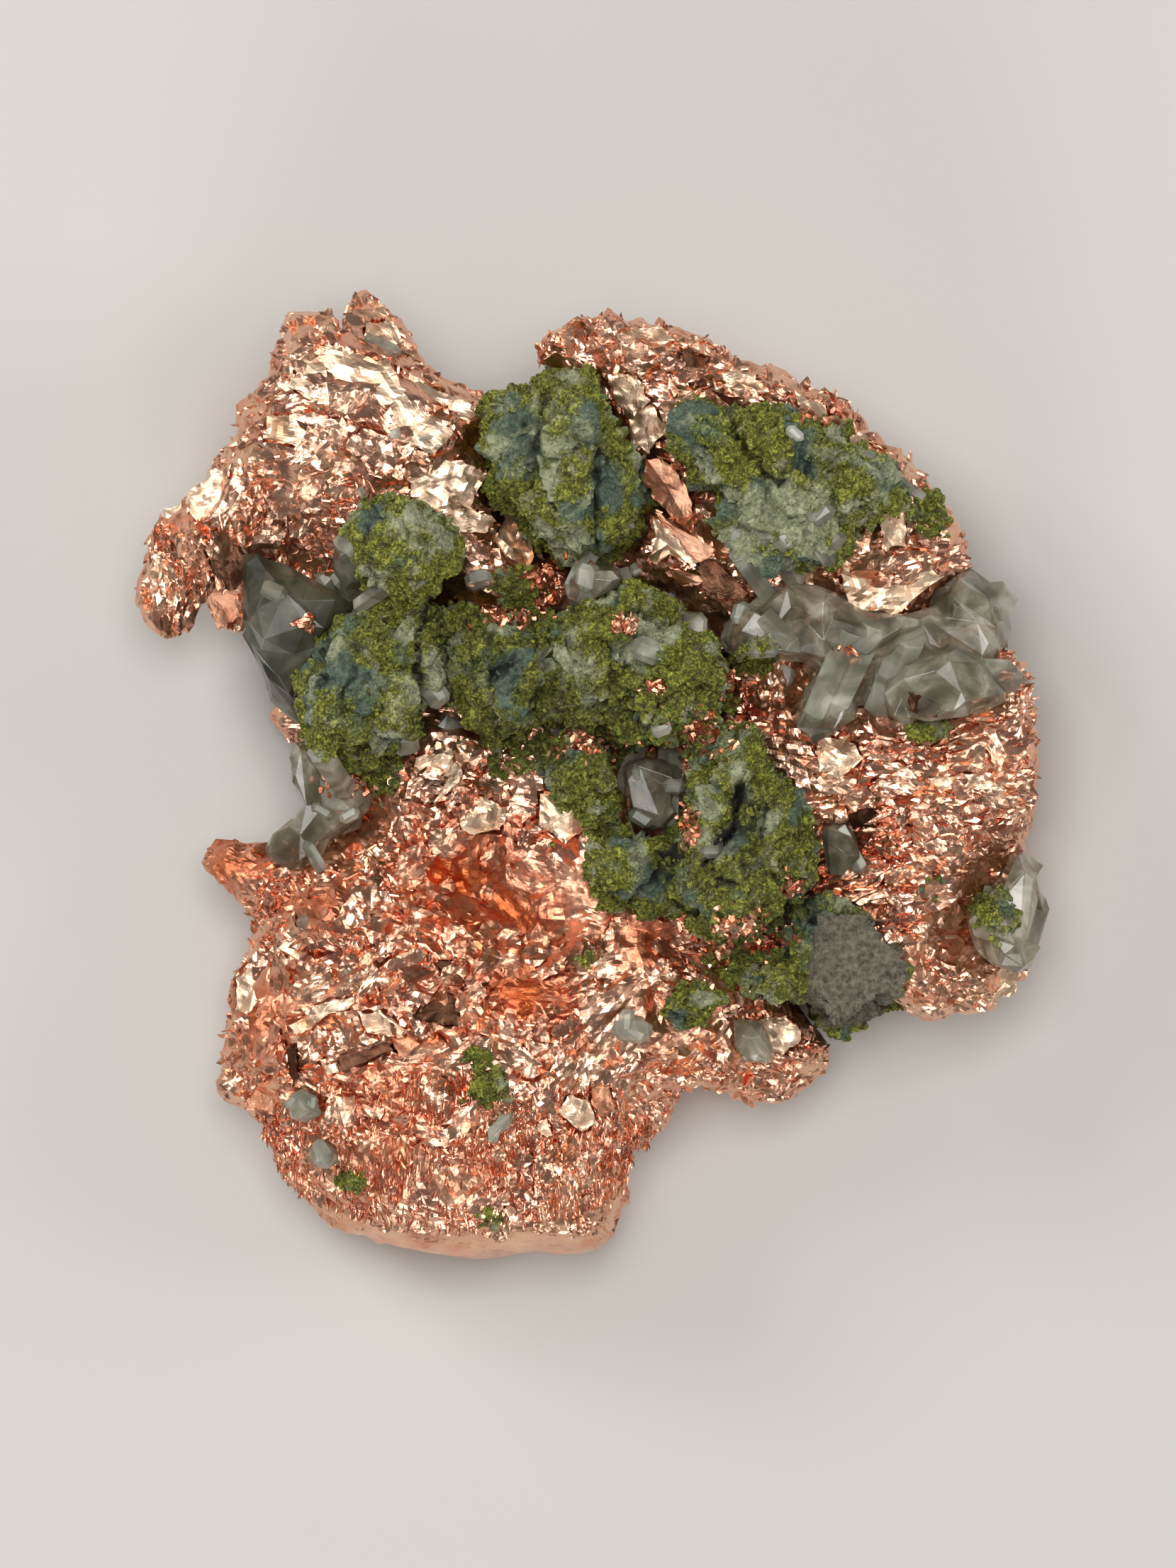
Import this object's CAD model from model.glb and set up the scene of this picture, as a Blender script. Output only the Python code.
import math
import random

import bmesh
import bpy
from mathutils import Matrix, Vector, noise
from mathutils.bvhtree import BVHTree


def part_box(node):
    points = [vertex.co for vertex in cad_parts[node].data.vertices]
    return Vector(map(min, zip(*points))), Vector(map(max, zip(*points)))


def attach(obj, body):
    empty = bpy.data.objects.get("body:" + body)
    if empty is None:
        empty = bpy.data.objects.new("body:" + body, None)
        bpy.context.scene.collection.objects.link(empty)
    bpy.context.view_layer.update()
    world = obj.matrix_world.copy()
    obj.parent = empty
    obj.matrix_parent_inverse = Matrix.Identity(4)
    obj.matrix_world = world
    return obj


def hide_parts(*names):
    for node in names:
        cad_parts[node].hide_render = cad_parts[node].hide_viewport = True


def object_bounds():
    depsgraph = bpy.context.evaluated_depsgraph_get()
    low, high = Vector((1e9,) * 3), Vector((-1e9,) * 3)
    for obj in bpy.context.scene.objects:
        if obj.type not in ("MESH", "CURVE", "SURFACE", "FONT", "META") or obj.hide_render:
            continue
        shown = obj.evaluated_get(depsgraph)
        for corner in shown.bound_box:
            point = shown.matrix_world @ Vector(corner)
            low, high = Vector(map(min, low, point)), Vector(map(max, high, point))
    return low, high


# Native copper grown through green epidote and quartz. The CAD solids give every main shape.
# Here each gets a fine broken skin, and the plates, chips, grains and crystals that sit on it.
# Places are in mm on the photo's plan: x to its right, y up it. photoShift takes them to the frame.
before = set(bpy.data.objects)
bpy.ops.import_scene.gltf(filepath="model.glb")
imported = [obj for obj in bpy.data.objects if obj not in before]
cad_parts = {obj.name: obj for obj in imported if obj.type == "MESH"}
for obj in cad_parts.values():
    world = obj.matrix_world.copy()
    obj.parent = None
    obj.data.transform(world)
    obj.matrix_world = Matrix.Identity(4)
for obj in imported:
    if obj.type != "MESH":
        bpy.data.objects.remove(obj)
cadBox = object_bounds()
mm = 0.001
headroom = 0.5 * mm  # how far detail may stand above the CAD's top
photoShift = Vector((-0.35, -0.08, 0.0))
noise.seed_set(17)  # without it, noise_vector takes its offsets from the clock
print("frame loaded:", len(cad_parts), "nodes")


def linear(hexColour):
    # sRGB hex to linear RGBA
    channels = [int(hexColour[i:i + 2], 16) / 255 for i in (1, 3, 5)]
    return [c / 12.92 if c <= 0.04045 else ((c + 0.055) / 1.055) ** 2.4 for c in channels] + [1.0]


def addNode(tree, kind, settings=None, **inputs):
    # settings are the node's own properties; inputs go by name, or by number as _0
    made = tree.nodes.new(kind)
    for name, value in (settings or {}).items():
        setattr(made, name, value)
    for name, value in inputs.items():
        socket = made.inputs[int(name[1:]) if name[1:].isdigit() else name.replace("_", " ")]
        if isinstance(value, bpy.types.NodeSocket):
            tree.links.new(value, socket)
        else:
            socket.default_value = value
    return made.outputs[0]


def startMaterial(name):
    made = bpy.data.materials.new(name)
    made.use_nodes = True
    made.node_tree.nodes.clear()
    tree = made.node_tree
    return made, tree, tree.nodes.new("ShaderNodeTexCoord").outputs["Object"]


def finishMaterial(tree, **inputs):
    shader = addNode(tree, "ShaderNodeBsdfPrincipled", **inputs)
    output = tree.nodes.new("ShaderNodeOutputMaterial")
    tree.links.new(shader, output.inputs["Surface"])


def cloud(tree, place, size, detail=4.0, roughness=0.6, distortion=0.0):
    # noise with features about size mm across
    return addNode(tree, "ShaderNodeTexNoise", Vector=place, Scale=1 / (size * mm), Detail=detail,
                   Roughness=roughness, Distortion=distortion)


def ramp(tree, fac, stops):
    # colours at places between 0 and 1
    made = tree.nodes.new("ShaderNodeValToRGB")
    tree.links.new(fac, made.inputs["Fac"])
    points = made.color_ramp.elements
    while len(points) < len(stops):
        points.new(0.5)
    for point, (place, colour) in zip(points, stops):
        point.position = place
        point.color = linear(colour)
    return made.outputs["Color"]


def pointValue(tree, name):
    # a value that the mesh's points carry
    made = tree.nodes.new("ShaderNodeAttribute")
    made.attribute_name = name
    return made.outputs["Fac"]


def mixed(tree, fac, first, second):
    return addNode(tree, "ShaderNodeMixRGB", Fac=fac, Color1=first, Color2=second)


# Bare native copper: cream where it mirrors the light, pink-brown at other tilts, glowing orange
# in its hollows and brown where it has tarnished. A tone's mirror is the size of its small planes in mm.
def makeCopper(name, tone):
    made, tree, place = startMaterial(name)
    patches = cloud(tree, place, 3.0)
    fine = cloud(tree, place, 0.45)
    fresh = ramp(tree, patches, [(0.36, tone["rose"]), (0.64, tone["gold"])])
    deep = ramp(tree, fine, [(0.35, tone["rust"]), (0.62, tone["orange"])])
    into = addNode(tree, "ShaderNodeMath", {"operation": "ADD", "use_clamp": True},
                   _0=pointValue(tree, "depth"), _1=pointValue(tree, "warm"))
    colour = mixed(tree, into, fresh, deep)
    stain = ramp(tree, cloud(tree, place, 1.4, 5.0, 0.7), [(0.55, "#000000"), (0.66, tone["stain"])])
    colour = mixed(tree, stain, colour, linear(tone["tarnish"]))
    cells = tree.nodes.new("ShaderNodeTexVoronoi")  # the planes, at many tilts
    cells.inputs["Scale"].default_value = 1 / (tone["mirror"] * mm)
    tree.links.new(place, cells.inputs["Vector"])
    lean = addNode(tree, "ShaderNodeVectorMath", {"operation": "SUBTRACT"},
                   _0=cells.outputs["Color"], _1=(0.5, 0.5, 0.5))
    lean = addNode(tree, "ShaderNodeVectorMath", {"operation": "SCALE"}, _0=lean, Scale=tone["tilt"])
    bump = addNode(tree, "ShaderNodeBump", Height=fine, Strength=tone["bump"], Distance=0.12 * mm)
    lean = addNode(tree, "ShaderNodeVectorMath", {"operation": "ADD"}, _0=bump, _1=lean)
    lean = addNode(tree, "ShaderNodeVectorMath", {"operation": "NORMALIZE"}, _0=lean)
    rough = addNode(tree, "ShaderNodeMapRange", Value=patches, From_Min=0.3, From_Max=0.7,
                    To_Min=tone["rough"][0], To_Max=tone["rough"][1])
    rough = mixed(tree, pointValue(tree, "warm"), rough, [tone["satin"]] * 3 + [1])
    finishMaterial(tree, Base_Color=colour, Metallic=1.0, Roughness=rough, Normal=lean)
    return made


# Epidote rock: matt mossy grains with blue-green and pale grey patches, nearly black in its cracks
def makeEpidote(name, tone):
    made, tree, place = startMaterial(name)
    grains = cloud(tree, place, 0.42, 8.0, 0.78, 1.4)
    moss = ramp(tree, grains, [(0.36, tone["shade"]), (0.5, tone["moss"]), (0.62, tone["lime"])])
    teal = ramp(tree, grains, [(0.34, tone["slate"]), (0.62, tone["teal"])])
    pale = ramp(tree, grains, [(0.34, tone["grey"]), (0.6, tone["pale"])])
    colour = moss
    for which, tint, size in (("teal", teal, 3.1), ("pale", pale, 2.3)):
        fraying = addNode(tree, "ShaderNodeMath", {"operation": "MULTIPLY_ADD"},
                          _0=cloud(tree, place, size, 6.0, 0.7, 0.5), _1=2.0, _2=-0.96)
        share = addNode(tree, "ShaderNodeMath", {"operation": "MULTIPLY_ADD"},
                        _0=pointValue(tree, which), _1=0.8, _2=fraying)
        share = addNode(tree, "ShaderNodeMapRange", Value=share, From_Min=0.2, From_Max=0.55)
        colour = mixed(tree, share, colour, tint)
    stone = ramp(tree, cloud(tree, place, 0.5, 5.0, 0.8), [(0.36, tone["flint"]), (0.62, tone["ash"])])
    colour = mixed(tree, pointValue(tree, "grey"), colour, stone)
    colour = mixed(tree, pointValue(tree, "depth"), colour, linear(tone["crack"]))
    bump = addNode(tree, "ShaderNodeBump", Height=grains, Strength=0.7, Distance=0.2 * mm)
    finishMaterial(tree, Base_Color=colour, Roughness=0.75, Normal=bump)
    return made


# Vein quartz: clear to milky, glassy on its breaks, with faint veils inside
def makeQuartz(name, tone):
    made, tree, place = startMaterial(name)
    veils = cloud(tree, place, 3.2, 4.0, 0.55, 0.8)
    colour = ramp(tree, veils, [(0.36, tone["clear"]), (0.52, tone["milk"]), (0.66, tone["white"])])
    clear = addNode(tree, "ShaderNodeMapRange", Value=veils, From_Min=0.36, From_Max=0.66,
                    To_Min=tone["clearest"], To_Max=tone["milkiest"])
    flaws = cloud(tree, place, 0.8)
    bump = addNode(tree, "ShaderNodeBump", Height=flaws, Strength=0.12, Distance=0.1 * mm)
    finishMaterial(tree, Base_Color=colour, Roughness=tone["rough"], IOR=1.544,
                   Transmission_Weight=clear, Normal=bump)
    return made


finishes = {
    "hackly native copper": makeCopper("hackly native copper", {
        "rose": "#e6a88e", "gold": "#f4c6a6", "orange": "#ec8450", "rust": "#c05c32", "tarnish": "#5c3626",
        "stain": "#999999", "mirror": 0.4, "tilt": 0.2, "bump": 0.3, "rough": (0.2, 0.34), "satin": 0.5}),
    "bright copper plate": makeCopper("bright copper plate", {
        "rose": "#f4ccaa", "gold": "#fcdfc0", "orange": "#f0b080", "rust": "#cc8058", "tarnish": "#8a5238",
        "stain": "#333333", "mirror": 0.7, "tilt": 0.12, "bump": 0.3, "rough": (0.36, 0.46), "satin": 0.45}),
    "satin copper plate": makeCopper("satin copper plate", {
        "rose": "#dc9c7c", "gold": "#ecb898", "orange": "#e08c5c", "rust": "#b4683e", "tarnish": "#7a4630",
        "stain": "#444444", "mirror": 0.9, "tilt": 0.05, "bump": 0.4, "rough": (0.42, 0.55), "satin": 0.5}),
    "dark copper plate": makeCopper("dark copper plate", {
        "rose": "#5c4032", "gold": "#74503c", "orange": "#6a3c26", "rust": "#4a281a", "tarnish": "#241812",
        "stain": "#999999", "mirror": 0.9, "tilt": 0.1, "bump": 0.4, "rough": (0.36, 0.5), "satin": 0.5}),
    "granular epidote": makeEpidote("granular epidote", {
        "shade": "#171a06", "moss": "#626618", "lime": "#c6c852", "slate": "#232c20", "teal": "#768a74",
        "grey": "#464c30", "pale": "#bcc09a", "flint": "#3e382c", "ash": "#857c6a",
        "crack": "#080803"}),
    "milky vein quartz": makeQuartz("milky vein quartz", {
        "clear": "#988f76", "milk": "#b2a990", "white": "#dad4c0", "clearest": 0.85, "milkiest": 0.5,
        "rough": 0.2}),
    "dark clear quartz": makeQuartz("dark clear quartz", {
        "clear": "#70725a", "milk": "#84846c", "white": "#a4a28c", "clearest": 0.9, "milkiest": 0.6,
        "rough": 0.34}),
    "pale clear quartz": makeQuartz("pale clear quartz", {
        "clear": "#b0ae98", "milk": "#c4c2ae", "white": "#e4e1d2", "clearest": 0.75, "milkiest": 0.4,
        "rough": 0.28}),
}
print("materials made:", len(finishes))


def toBody(mesh):
    body = bmesh.new()
    body.from_mesh(mesh)
    return body


def toMesh(body, name):
    mesh = bpy.data.meshes.new(name)
    body.to_mesh(mesh)
    body.free()
    return mesh


def changed(mesh, kind, **settings):
    # the mesh after one modifier
    holder = bpy.data.objects.new("holder", mesh)
    bpy.context.scene.collection.objects.link(holder)
    modifier = holder.modifiers.new("Change", kind)
    for name, value in settings.items():
        setattr(modifier, name, value)
    bpy.context.view_layer.update()
    result = bpy.data.meshes.new_from_object(holder.evaluated_get(bpy.context.evaluated_depsgraph_get()))
    bpy.data.objects.remove(holder)
    return result


def nodeMesh(nodeName):
    # a copy of the CAD node's mesh, whose loose triangles are joined up
    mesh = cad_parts[nodeName].data.copy()
    body = toBody(mesh)
    bmesh.ops.remove_doubles(body, verts=body.verts, dist=0.001 * mm)
    body.to_mesh(mesh)
    body.free()
    return mesh


def sculpt(body, heightAt):
    # moves each point along its normal by heightAt(place, normal) mm
    body.normal_update()
    normals = [vertex.normal.copy() for vertex in body.verts]
    for vertex, normal in zip(body.verts, normals):
        vertex.co += normal * heightAt(vertex.co / mm, normal) * mm
        vertex.co.z = max(vertex.co.z, 0.0)


def storeShade(mesh, name, valueAt):
    # a value between 0 and 1 on each point, from its place on the plan in mm
    layer = mesh.attributes.new(name, "FLOAT", "POINT")
    layer.data.foreach_set("value", [min(max(valueAt(vertex.co / mm - photoShift), 0.0), 1.0)
                                     for vertex in mesh.vertices])


def spots(place, centres):
    # how far place is inside round spots (x, y, reach across, reach up, strength)
    return max(strength * math.exp(-((place.x - x) / across) ** 2 - ((place.y - y) / up) ** 2)
               for x, y, across, up, strength in centres)


def addPiece(name, mesh, finish, stands=None):
    # adds one piece, which stays between the table and the CAD's top
    ceiling = cadBox[1][2] + headroom
    for vertex in mesh.vertices:
        vertex.co.z = min(max(vertex.co.z, 0.0), ceiling)
    print(name, sum(len(face.vertices) - 2 for face in mesh.polygons), "triangles")
    piece = bpy.data.objects.new(name, mesh)
    bpy.context.scene.collection.objects.link(piece)
    mesh.materials.clear()
    mesh.materials.append(finishes[finish])
    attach(piece, "root")
    if stands:
        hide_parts(stands)


def facet(place, cell, step, tilt, stretch):
    # a broken face: each cell is one small plane with its own level and lean
    local = Vector((place.x / stretch[0], place.y / stretch[1], place.z / stretch[2])) / cell
    seed = noise.voronoi(local)[1][0]
    lean = noise.noise_vector(seed * 7.31)
    return step * noise.noise(seed * 3.17) + tilt * lean.dot(local - seed) * cell


def inside(x, y, ring):
    crossings = [x < (bx - ax) * (y - ay) / (by - ay) + ax
                 for (ax, ay), (bx, by) in zip(ring, ring[1:] + ring[:1]) if (ay > y) != (by > y)]
    return sum(crossings) % 2 == 1


# Broad copper plates and ribbons that can be told apart in the photo: outline, lift above what they lie
# on, how much they crumple and how far they lean to +x and +y, all in mm
copperPlates = {
    "thickness": 0.14,
    "splits": 3,
    "follows": 0.6,  # share of the ground's rise and fall that a plate takes up
    "steepest": 0.9,  # mm, the most of it
    "crown": 0.3,  # share of its lift that the middle stands higher
    "ragged": 0.3,  # mm, along the edge
    "rough": 0.06,  # mm, inside
    "bedded": 0.3,  # mm that the skin is lowered under it
    "bright": [
        ([(-19.7, 30), (-17.6, 30.3), (-13.8, 29), (-12.6, 27.1), (-14.8, 25.1), (-18.1, 25.8),
          (-20.8, 27.3)], 0.35, 0.18, 0.02, -0.05),
        ([(-16.4, 33), (-16.2, 33.7), (-15.4, 34), (-14.1, 33.5), (-13.9, 32.6), (-15.4, 32.3)],
         0.3, 0.4, 0.12, 0.1),
        ([(-15.4, 32), (-13.7, 32.3), (-12.8, 30.6), (-13.8, 30.2), (-15.6, 30.9)], 0.3, 0.4, -0.1, 0.05),
        ([(-29.9, 19), (-28.6, 19.6), (-27.6, 18.8), (-27.9, 17.3), (-29.6, 17.2)], 0.25, 0.25, 0.05, 0),
        ([(-12.9, 27), (-11.2, 25.6), (-9.2, 24.2), (-10.6, 22.8), (-13.4, 23.4), (-14.4, 25)],
         0.3, 0.3, 0.05, 0.0),
        ([(-22.3, 25.4), (-19.2, 25.7), (-15.4, 24.7), (-16.2, 22.9), (-19.8, 23.2), (-22.5, 23.8)],
         0.3, 0.28, -0.05, 0.0),
        ([(-13.7, 29), (-10.4, 27.3), (-7.6, 26.2), (-8.2, 24.9), (-11.2, 25.7), (-13.4, 27.1)],
         0.3, 0.28, 0.05, -0.1),
        ([(-12.6, 21.8), (-9.3, 22.4), (-7, 21.3), (-8.2, 19.1), (-10.4, 18.5), (-12, 19.6)],
         0.4, 0.35, 0.05, 0.0),
        ([(-21.7, 31.5), (-19.5, 32.4), (-18.2, 31.5), (-19.2, 30), (-21.3, 29.5)], 0.2, 0.25, 0.05, 0),
        ([(-28.1, 19.6), (-26.1, 21.8), (-23.8, 21.4), (-23.5, 19.6), (-25.3, 18.2), (-27.5, 18.2)],
         0.3, 0.22, -0.05, 0.0),
        ([(-6.4, 17.2), (-5.6, 18.4), (-4.6, 18), (-3.6, 16.1), (-4.4, 14.3), (-5.6, 14), (-6.7, 15.2)],
         0.9, 0.4, -0.05, 0.0),
        ([(-10.5, 18.9), (-8.2, 19.2), (-6.4, 18.1), (-7.1, 17.2), (-9.8, 17.6)], 0.4, 0.25, 0.1, 0.1),
        ([(4.5, 18.6), (5.3, 18), (7.7, 15.3), (7.2, 15), (5.9, 15.7), (4.8, 15.1), (4.3, 15.5),
          (4.8, 17)], 1.5, 0.2, 0, -0.05),
        ([(17.7, 14.7), (19.4, 16.3), (22.8, 15.5), (25, 14.2), (21.7, 11.6), (18.4, 11.9)],
         0.3, 0.4, 0.05, -0.05),
        ([(20.5, 18.4), (22.2, 18.8), (22.4, 16.3), (20.7, 16)], 0.2, 0.3, 0.1, 0),
        ([(-2, 31.2), (-0.2, 32.1), (0.2, 30.1), (-1.4, 29.5)], 0.2, 0.25, 0.1, 0),
        ([(2.3, 31.2), (5.1, 31.9), (6.3, 30.7), (4.5, 29.3), (2.6, 29.6)], 0.2, 0.35, 0, 0.1),
        ([(9, 28.7), (11.7, 28.5), (12.6, 27.1), (10.1, 26.8)], 0.2, 0.3, 0.1, 0.1),
        ([(1.6, 28.2), (3.4, 28.4), (4.4, 26.6), (3.2, 25.2), (2, 26.2)], 0.8, 0.35, 0.05, 0.05),
        ([(2.8, 25.6), (4.6, 26.2), (5.6, 24.4), (4.4, 22.8), (3, 23.6)], 1, 0.35, -0.05, 0.05),
        ([(18.4, 24), (19.6, 24.2), (20.2, 22.6), (18.8, 22.4)], 0.3, 0.3, 0, 0.1),
        ([(14.5, 27.1), (16.7, 26.2), (17.3, 24.9), (15.1, 25.7)], 0.2, 0.3, 0.1, 0.1),
        ([(-12, 1.6), (-9.6, 2.2), (-8.7, 0.3), (-10.4, -1.7), (-12, -0.9)], 0.3, 0.35, 0, 0),
        ([(-9.8, -2), (-8.2, -0.7), (-5.7, -2), (-6, -3.6), (-8.7, -3.9)], 0.3, 0.3, 0.1, 0),
        ([(-3.2, -0.9), (-0.7, -1.1), (0.7, -3.1), (-1.5, -4.4), (-3.2, -3.1)], 0.25, 0.4, 0.05, 0),
        ([(-24.6, -14), (-22.9, -12.5), (-21.8, -12.8), (-22.1, -14.8), (-23.8, -16.5), (-24.9, -16.5)],
         0.3, 0.25, 0.0, 0.0),
        ([(-21.7, -11.9), (-20.5, -11.1), (-18.7, -12.9), (-19.2, -13.3)], 0.4, 0.15, 0, 0),
        ([(-20.9, -17.2), (-19.6, -16.5), (-18.3, -15.5), (-16.3, -15.1), (-16.5, -16.1), (-18, -16.3),
          (-19.4, -17.6), (-20.6, -18)], 0.5, 0.18, 0.05, 0),
        ([(-16.1, -16.3), (-14.4, -16.2), (-12.5, -17.6), (-12.8, -18.1), (-15.5, -17.6)],
         0.4, 0.2, 0.05, 0.0),
        ([(-18.8, -19.6), (-17.7, -19.5), (-17.4, -20.6), (-18.3, -20.6)], 0.4, 0.1, 0, 0),
        ([(-2, -23.4), (-1.3, -22.3), (-0.1, -22.3), (0.9, -24.2), (-0.2, -24.7)], 0.4, 0.12, 0, 0),
        ([(-3.5, -24.2), (-2.9, -23.8), (-2.3, -24.9), (-2.9, -25.1)], 0.4, 0.08, 0, 0),
        ([(16.2, 2.7), (18.3, 3.1), (19.4, 1.4), (17.8, 0), (16.2, 0.5)], 0.3, 0.4, 0, 0),
        ([(23.8, 0.1), (27.2, 0.5), (27.9, -0.3), (24.7, -0.9)], 0.3, 0.25, 0, 0),
        ([(12.2, -16.9), (14, -16.7), (15.3, -18.1), (14, -19.4), (12.6, -18.9)], 0.3, 0.15, 0.1, 0),
        ([(28.1, -14.1), (31, -12.6), (30.5, -15), (28.4, -16)], 0.15, 0.2, 0, 0),
    ],
    "satin": [
        ([(4.7, 18.7), (9, 16.1), (8.6, 15.2), (7.7, 15.3), (5.3, 18)], 1.6, 0.05, 0.1, 0.1),
        ([(4.2, 22.6), (6, 22.2), (7.6, 19.4), (7.4, 17.6), (5.2, 19), (4, 21)], 0.7, 0.2, 0, 0.05),
        ([(5.7, 14.8), (7.9, 14.3), (8.1, 13.7), (6.6, 13.6)], 0.9, 0.12, 0, -0.2),
        ([(-27.1, 13.4), (-24.3, 13.4), (-24.8, 11.3), (-26.3, 10.6)], 0.2, 0.1, 0, 0.1),
        ([(-24.2, -23.1), (-22.7, -20.7), (-21.1, -20.9), (-22.1, -23.6)], 0.25, 0.25, -0.1, -0.1),
        ([(-13.6, -18.2), (-12.4, -18), (-11, -18.6), (-11.4, -19.6), (-13.2, -19.4)],
         0.25, 0.4, 0.0, 0.0),
        ([(0.3, -21.5), (1.6, -21.6), (2.2, -23), (1.2, -23.8), (0.4, -22.8)], 0.3, 0.4, 0.1, 0),
    ],
    "dark": [
        ([(18.3, -1.6), (20.1, -1.9), (20.3, -3.2), (18.7, -3.4)], 0.2, 0.2, 0.3, 0.2),
        ([(22.4, 6.2), (24.6, 5.4), (24.4, 4.4), (22.6, 4.8)], 0.2, 0.2, -0.3, 0.2),
        ([(-27, 17.8), (-24.6, 17.4), (-23.7, 14), (-25, 13.2), (-26.4, 14.6)], 0.2, 0.25, -0.2, 0),
        ([(7.7, 15.3), (9, 15.4), (11.3, 13.1), (10.5, 12.4), (7.9, 13.3)], 1, 0.3, 0.1, -0.2),
        ([(6.7, 30.1), (8.7, 29.5), (8.4, 27.3), (6.8, 27.9)], 0.2, 0.25, -0.3, 0.2),
        ([(-17.7, -19.5), (-14.1, -18.4), (-13.7, -19), (-17.2, -20.5)], 0.5, 0.12, 0.1, -0.3),
        ([(-10.6, -12.8), (-9.5, -12.6), (-9.2, -13.7), (-10, -13.7)], 0.3, 0.1, -0.2, 0.2),
        ([(-12.1, -16.5), (-10, -14.7), (-8.8, -15.7), (-8.9, -17.3), (-10.8, -17)],
         0.35, 0.25, -0.2, -0.2),
        ([(-21, -18.7), (-20.3, -18.7), (-20.3, -21.4), (-20.9, -21.4)], 0.3, 0.1, 0.3, 0),
    ],
}


def ringSpan(ring):
    # middle of an outline and how far its corners reach from it
    x, y = (sum(corner[axis] for corner in ring) / len(ring) for axis in (0, 1))
    return x, y, max(math.hypot(cornerX - x, cornerY - y) for cornerX, cornerY in ring)


plateKinds = ("bright", "satin", "dark")
plateSpans = [(ringSpan(ring), ring) for kind in plateKinds for ring, *_ in copperPlates[kind]]


def underPlate(place):
    # whether a named plate covers the skin here
    x, y = place.x - photoShift.x, place.y - photoShift.y
    return any(math.hypot(x - spanX, y - spanY) < reach and inside(x, y, ring)
               for (spanX, spanY, reach), ring in plateSpans)


# The copper's skin starts as coarse planes, which are split and crumpled three times over.
# Areas: centre, reach, stretch of the break, height of its planes, then (size, height) of its folds in mm.
copperSkin = {
    "voxel": 1.0,
    "kept": 0.18,  # of its triangles, before they are split
    "shares": (0.5, 0.6, 0.7),  # of the folds' height, at each split; the last one splits the top side only
    "calm": 0.7,  # of the folds is left out under plates
    "areas": [
        ((-17, 23), 13, (1.4, 0.75, 1), 0.42, [(2.4, 0.26), (0.9, 0.04)]),
        ((-18, 16), 6, (1, 1, 1), 0.35, [(1.2, 0.20), (0.5, 0.12)]),
        ((-27, 17), 7, (0.6, 1.6, 1), 0.4, [(1.6, 0.28), (0.7, 0.06)]),
        ((10, 26), 14, (1.1, 0.9, 1), 0.5, [(2.2, 0.35), (0.8, 0.08)]),
        ((27, -2), 12, (2.2, 0.5, 0.8), 0.4, [(1.5, 0.30), (0.6, 0.10)]),
        ((-3, -8), 6, (1, 1, 1), 0.12, [(2.5, 0.16), (0.8, 0.05)]),
        ((-13, -18), 12, (1.1, 0.9, 1), 0.5, [(1.8, 0.32), (0.6, 0.10)]),
        ((-9, -28), 7, (0.4, 2, 1), 0.22, [(1, 0.16), (0.5, 0.12)]),
        ((-9, -35.5), 6.6, (1, 1, 1), 0.1, [(3, 0.10), (1, 0.02)]),
    ],
    # the notch between the wing's two horns: its line across, its foot, how steep it is and its half width
    "notch": (-17.3, 30.6, 4.5, 1),
    # hollows and smooth stretches that glow orange: centre, reach across and up, strength
    "warm": [(-8.6, -6.6, 3.6, 3.6, 1), (-5, -9.4, 4, 3.4, 1), (-4.2, -14.4, 3, 2.6, 0.9),
             (-9, -15, 6, 4, 0.4), (-16, -22, 6, 4, 0.4), (-22.6, -17, 2.4, 3, 0.8), (-19, -8.5, 3, 2, 0.7),
             (-13, -27, 8, 3, 0.45), (4, -11, 2.4, 3, 0.8), (20, -14, 3, 2, 0.5), (-25, -6, 3, 3, 0.8)],
}


def copperArea(place):
    return min(copperSkin["areas"], key=lambda area: math.hypot(place.x - area[0][0], place.y - area[0][1])
               / area[1] + 0.3 * noise.noise(place / 3))


def copperPlanes(place, _):
    # the first break, on the coarse skin
    return copperArea(place)[3] * (noise.noise(place * 1.9) + noise.noise(place * 4.7))


def copperFolds(place):
    # creased folds, drawn out the way that the area runs
    _, _, stretch, _, folds = copperArea(place)
    local = Vector((place.x / stretch[0], place.y / stretch[1], place.z / stretch[2]))
    return sum(height * (1 - 3 * abs(noise.noise(local / size + Vector((0, 0, 9 * size)))))
               for size, height in folds)


mesh = changed(nodeMesh("copper_mass"), "REMESH", mode="VOXEL", voxel_size=copperSkin["voxel"] * mm)
mesh = changed(mesh, "DECIMATE", ratio=copperSkin["kept"])
body = toBody(mesh)
sculpt(body, copperPlanes)
for share in copperSkin["shares"]:
    edges = [edge for edge in body.edges
             if share < copperSkin["shares"][-1] or all(face.normal.z > 0.1 for face in edge.link_faces)]
    bmesh.ops.subdivide_edges(body, edges=edges, cuts=1, use_grid_fill=True)
    bmesh.ops.triangulate(body, faces=body.faces[:])
    sculpt(body, lambda place, _: share * copperFolds(place) * (1 - copperSkin["calm"] * underPlate(place)))
sculpt(body, lambda place, _: -copperPlates["bedded"] * underPlate(place))
notchX, notchFoot, steepness, halfWidth = copperSkin["notch"]
for vertex in body.verts:
    across = abs(vertex.co.x / mm - photoShift.x - notchX)
    if across < halfWidth:
        vertex.co.y = min(vertex.co.y, (notchFoot + steepness * across + photoShift.y) * mm)
copperMesh = toMesh(body, "copper skin")
storeShade(copperMesh, "depth", lambda place: -0.7 * copperFolds(place + photoShift) - 0.05)
storeShade(copperMesh, "warm",
           lambda place: spots(place, copperSkin["warm"]) + 0.5 * noise.noise(place / 2.2))
addPiece("copperMass", copperMesh, "hackly native copper", "copper_mass")

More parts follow.
